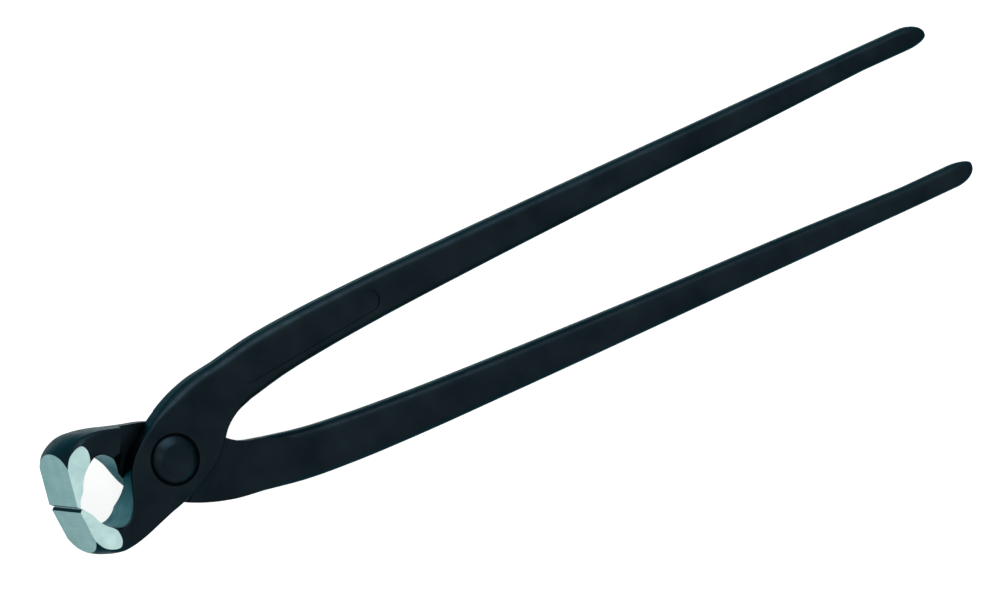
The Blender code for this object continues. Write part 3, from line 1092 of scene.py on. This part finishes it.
@dataclass(frozen=True)
class Rivet:
    """Shank and two heads.

    A head is a low cone with a flat top, on a short upright wall with a rounded shoulder.
    The skirt round its foot fills the seat nearly to its wall.
    """

    shank_radius: float = 4.0 * MM
    skirt_radius: float = 6.52 * MM
    skirt_height: float = 5.90 * MM
    foot_radius: float = 6.45 * MM
    shoulder_radius: float = 6.32 * MM
    shoulder_height: float = 6.85 * MM
    top_radius: float = 4.2 * MM
    seat_height: float = 5.35 * MM
    top_height: float = 8.55 * MM
    edge_radius: float = 0.20 * MM
    middle_radius: float = 0.08 * MM
    round_steps: int = 10
    face_rings: int = 12

    def profile(self) -> np.ndarray:
        """Upper half of the outline: shank, skirt, wall and cone, rounded edge, flat top.

        The top's edge is a quarter circle: its point at angle a is the corner drawn in by
        r (1 - cos a) one way and r (1 - sin a) the other. The wall and cone are one curve
        drawn towards the shoulder: (1 - t)^2 of its foot, 2 t (1 - t) of the shoulder and
        t^2 of its top.

        Returns:
            Array of shape (points, 2), radius then height.
        """
        angle = np.linspace(0.0, math.pi / 2, self.round_steps + 1)
        t = np.linspace(0.0, 1.0, self.round_steps + 1)[:, None]
        foot = np.array([self.foot_radius, self.skirt_height])
        shoulder = np.array([self.shoulder_radius, self.shoulder_height])
        top = np.array([self.top_radius, self.top_height - self.edge_radius])
        cone = (1 - t) ** 2 * foot + 2 * t * (1 - t) * shoulder + t**2 * top
        edge = np.column_stack(
            [
                self.top_radius - self.edge_radius * (1 - np.cos(angle)),
                self.top_height - self.edge_radius * (1 - np.sin(angle)),
            ]
        )
        flat_radius = np.linspace(edge[-1, 0], self.middle_radius, self.face_rings)[1:]
        flat = np.column_stack([flat_radius, np.full(len(flat_radius), self.top_height)])
        shank_and_skirt = np.array(
            [
                (self.shank_radius, 0.0),
                (self.shank_radius, self.seat_height),
                (self.skirt_radius, self.seat_height),
                (self.skirt_radius, self.skirt_height),
            ]
        )
        return np.vstack([shank_and_skirt, cone[:-1], edge, flat])

    def build(self, depth: float, oxide: bpy.types.Material) -> bpy.types.Object:
        """Makes the rivet in its place.

        Args:
            depth: Depth of the pivot's middle under the frame's origin.
            oxide: Finish of the rivet.

        Returns:
            The finished piece.
        """
        upper = self.profile()
        lower = upper[::-1] * np.array([1.0, -1.0])
        outline = np.vstack([lower[:-1], upper[1:]])
        mesh = grid_mesh("rivet_turned", revolved_rings(outline, ROUND_SEGMENTS))
        mesh.materials.append(oxide)
        mesh.shade_smooth()
        mesh.set_sharp_from_angle(angle=SHARP_ANGLE)
        mesh.transform(Matrix.Translation((0.0, 0.0, -depth)))
        return new_object("rivet_turned", mesh)


# Studio


@dataclass(frozen=True)
class Viewpoint:
    """The photograph's camera, worked out from the tool's plan in the picture.

    Attributes:
        lean: Angle between the view and the tool's front, in radians.
        heading: Direction in which it leans.
        turn: Angle that the tool is turned through in the picture.
        pivot_pixel: Where the joint's middle is in the picture.
        distance: Distance from the camera to the joint's plane.
        pixels: Pixels for each metre at that distance.
        picture: Width and height of the picture in pixels.
        pivot_depth: Depth of the joint's middle under the frame's origin.
        sensor: Width of the camera's sensor in millimetres.
        clip_end: Furthest distance that the camera shows.
    """

    lean: float = 0.43633
    heading: float = -0.00567
    turn: float = 0.39531
    pivot_pixel: tuple[float, float] = (166.249, 458.946)
    distance: float = 1.4
    pixels: float = 3882.9
    picture: tuple[int, int] = (1000, 609)
    pivot_depth: float = 8.55 * MM
    sensor: float = 36.0
    clip_end: float = 20.0

    def axes(self) -> np.ndarray:
        """Works out the camera's axes.

        The tool's axes are turned in the picture, then leaned back about the direction
        square to the heading. Row i of the result is the tool's axis i in camera terms.

        Returns:
            Array of shape (3, 3), whose columns are the camera's right, up and back axes.
        """
        d = np.array([math.cos(self.heading), math.sin(self.heading), 0.0])
        e = np.array([-math.sin(self.heading), math.cos(self.heading), 0.0])
        w = np.array([0.0, 0.0, 1.0])
        c, s = math.cos(self.turn), math.sin(self.turn)
        tool = np.array([(c, s, 0.0), (-s, c, 0.0), (0.0, 0.0, 1.0)])
        leaned = np.array([math.cos(self.lean) * d - math.sin(self.lean) * w, e])
        leaned = np.vstack([leaned, math.sin(self.lean) * d + math.cos(self.lean) * w])
        return tool @ np.column_stack([d, e, w]) @ leaned

    def build(self) -> None:
        """Makes the camera and gives it to the scene."""
        axes = self.axes()
        across = (self.pivot_pixel[0] - self.picture[0] / 2) / self.pixels
        up = (self.picture[1] / 2 - self.pivot_pixel[1]) / self.pixels
        place = axes @ np.array([-across, -up, self.distance])
        place[2] -= self.pivot_depth
        data = bpy.data.cameras.new("camera")
        data.sensor_width = self.sensor
        data.lens = self.pixels * self.distance / self.picture[0] * self.sensor
        data.clip_end = self.clip_end
        camera = bpy.data.objects.new("camera", data)
        bpy.context.scene.collection.objects.link(camera)
        world = np.eye(4)
        world[:3, :3], world[:3, 3] = axes, place
        camera.matrix_world = Matrix(world.tolist())
        bpy.context.scene.camera = camera


@dataclass(frozen=True)
class Softbox:
    """One square area lamp that faces the tool's middle.

    Attributes:
        name: Name of the lamp.
        direction: Direction in which it stands, seen from the tool's middle.
        distance: How far away it stands.
        width: Length of its side.
        watts: Its power.
    """

    name: str
    direction: tuple[float, float, float]
    distance: float
    width: float
    watts: float

    def build(self, middle: Vector) -> None:
        """Makes the lamp.

        Args:
            middle: Point that the lamp faces.
        """
        data = bpy.data.lights.new(self.name, "AREA")
        data.size = self.width
        data.energy = self.watts
        lamp = bpy.data.objects.new(self.name, data)
        bpy.context.scene.collection.objects.link(lamp)
        away = Vector(self.direction).normalized()
        lamp.location = middle + away * self.distance
        lamp.rotation_euler = away.to_track_quat("Z", "Y").to_euler()


@dataclass(frozen=True)
class Studio:
    """Plain pale floor, soft lamps and a white surround.

    Attributes:
        middle: Point that the lamps face.
        floor_size: Length of the floor's side.
        floor_colour: Grey of the floor.
        floor_mottle: How much paler the paper's grain is than that grey, as a factor.
        floor_grain: Cells for each metre of the grain.
        floor_roughness: Roughness of the floor.
        floor_glow: Strength of white that is added where the floor is seen or reflected.
        rest_jaw: Place along the tool and height of the jaw's flank that lies on the floor.
        rest_tip: The same for the handles' tips.
        surround: Strength of the white surround where it lights the tool.
        lamps: The lamps.
    """

    middle: tuple[float, float, float] = (0.10, 0.0, -0.01)
    floor_size: float = 6.0
    floor_colour: float = 0.80
    floor_mottle: float = 1.02
    floor_grain: float = 400.0
    floor_roughness: float = 0.9
    floor_glow: float = 0.84
    rest_jaw: tuple[float, float] = (-27.0 * MM, -18.97 * MM)
    rest_tip: tuple[float, float] = (240.0 * MM, -12.0 * MM)
    surround: float = 0.55
    lamps: tuple[Softbox, ...] = (
        Softbox("key_softbox", (-0.08, 0.95, 0.28), 1.3, 0.7, 6.5),
        Softbox("back_softbox", (0.28, 0.94, 0.24), 1.3, 0.6, 3.5),
        Softbox("side_softbox", (-0.68, 0.50, 0.55), 1.4, 0.6, 1.2),
        Softbox("top_softbox", (-0.31, -0.35, 0.88), 1.5, 0.3, 0.8),
    )

    def seen_directly(self, tree: bpy.types.NodeTree) -> bpy.types.NodeSocket:
        """Adds a value of 1 on camera, glossy and transmission rays, and 0 on the others.

        Args:
            tree: Nodes of the world or of a material.

        Returns:
            The value: the three kinds of ray added up and held at 1.
        """
        path = tree.nodes.new("ShaderNodeLightPath")
        total = path.outputs["Is Camera Ray"]
        for kind in ("Is Glossy Ray", "Is Transmission Ray"):
            both = tree.nodes.new("ShaderNodeMath")
            both.operation = "ADD"
            both.use_clamp = True
            tree.links.new(total, both.inputs[0])
            tree.links.new(path.outputs[kind], both.inputs[1])
            total = both.outputs[0]
        return total

    def build_surround(self) -> None:
        """White world where it is seen or reflected, softer where it lights."""
        world = bpy.data.worlds.new("surround")
        bpy.context.scene.world = world
        world.use_nodes = True
        tree = world.node_tree
        strength = tree.nodes.new("ShaderNodeMapRange")
        set_inputs(strength, {"To Min": self.surround, "To Max": 1.0})
        tree.links.new(self.seen_directly(tree), strength.inputs["Value"])
        background = tree.nodes["Background"]
        set_inputs(background, {"Color": (1.0, 1.0, 1.0, 1.0)})
        tree.links.new(strength.outputs["Result"], background.inputs["Strength"])

    def build_floor(self) -> None:
        """Pale floor through the points that the tool lies on: a jaw's flank and the tips."""
        slope = (self.rest_tip[1] - self.rest_jaw[1]) / (self.rest_tip[0] - self.rest_jaw[0])
        reach = self.floor_size / 2
        corner = np.array([(-reach, -reach), (reach, -reach), (reach, reach), (-reach, reach)])
        height = self.rest_jaw[1] + slope * (corner[:, 0] - self.rest_jaw[0])
        mesh = bpy.data.meshes.new("floor")
        mesh.from_pydata(np.column_stack([corner, height]).tolist(), [], [(0, 1, 2, 3)])
        floor = new_object("floor", mesh)
        paper = NodeTree("floor_paper")
        grain = paper.noise((self.floor_grain,) * 3, detail=2.0)
        grey, pale = (self.floor_colour,) * 3, (self.floor_colour * self.floor_mottle,) * 3
        tone = paper.blend(paper.spread(grain, 0.0, 1.0), grey, pale)
        glow = paper.add("MapRange")
        set_inputs(glow, {"To Max": self.floor_glow})
        set_inputs(paper.shader, {"Roughness": self.floor_roughness, "Specular IOR Level": 0.0})
        set_inputs(paper.shader, {"Emission Color": (1.0, 1.0, 1.0, 1.0)})
        paper.link(tone, paper.shader.inputs["Base Color"])
        paper.link(self.seen_directly(paper.tree), glow.inputs["Value"])
        paper.link(glow.outputs["Result"], paper.shader.inputs["Emission Strength"])
        mesh.materials.append(paper.material)

    def build(self) -> None:
        """Makes the surround, the floor and the lamps, and sets the plain view."""
        self.build_surround()
        self.build_floor()
        for lamp in self.lamps:
            lamp.build(Vector(self.middle))
        bpy.context.scene.view_settings.view_transform = "Standard"


# Whole tool


def put_on_body(piece: bpy.types.Object, body: str, node: str) -> None:
    """Puts a piece on its body in the place of its solid, and logs it.

    Args:
        piece: The finished piece.
        body: Body that it moves with.
        node: Solid that it stands for.
    """
    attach(piece, body)
    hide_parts(node)
    LOG.info("%s rides on %s: %d faces", piece.name, body, len(piece.data.polygons))


def main() -> None:
    """Builds the tool, its finishes and the studio, in order."""
    logging.basicConfig(level=logging.INFO, format="%(name)s: %(message)s")
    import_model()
    materials = {
        Finish.OXIDE: BlackOxide().material(),
        # The nose's material carries painted shade.
        Finish.NOSE: GroundNoseWithPaintedShade().material(),
        Finish.FLANK: GroundSteel().material(),
        # This material carries the painted reflection on the cavity walls and closing faces.
        Finish.PAINTED_REFLECTION: OxideWithPaintedReflection().material(),
    }
    half = ForgedHalf()
    front, rear = (half.build(side, materials) for side in (Side.FRONT, Side.REAR))
    rivet = Rivet().build(half.pivot_depth, TurnedOxide().material())
    put_on_body(front, "front", "front_half")
    put_on_body(rear, "rear", "rear_half")
    put_on_body(rivet, "front", "pivot_rivet")
    Studio().build()
    Viewpoint().build()


if __name__ == "__main__":
    main()
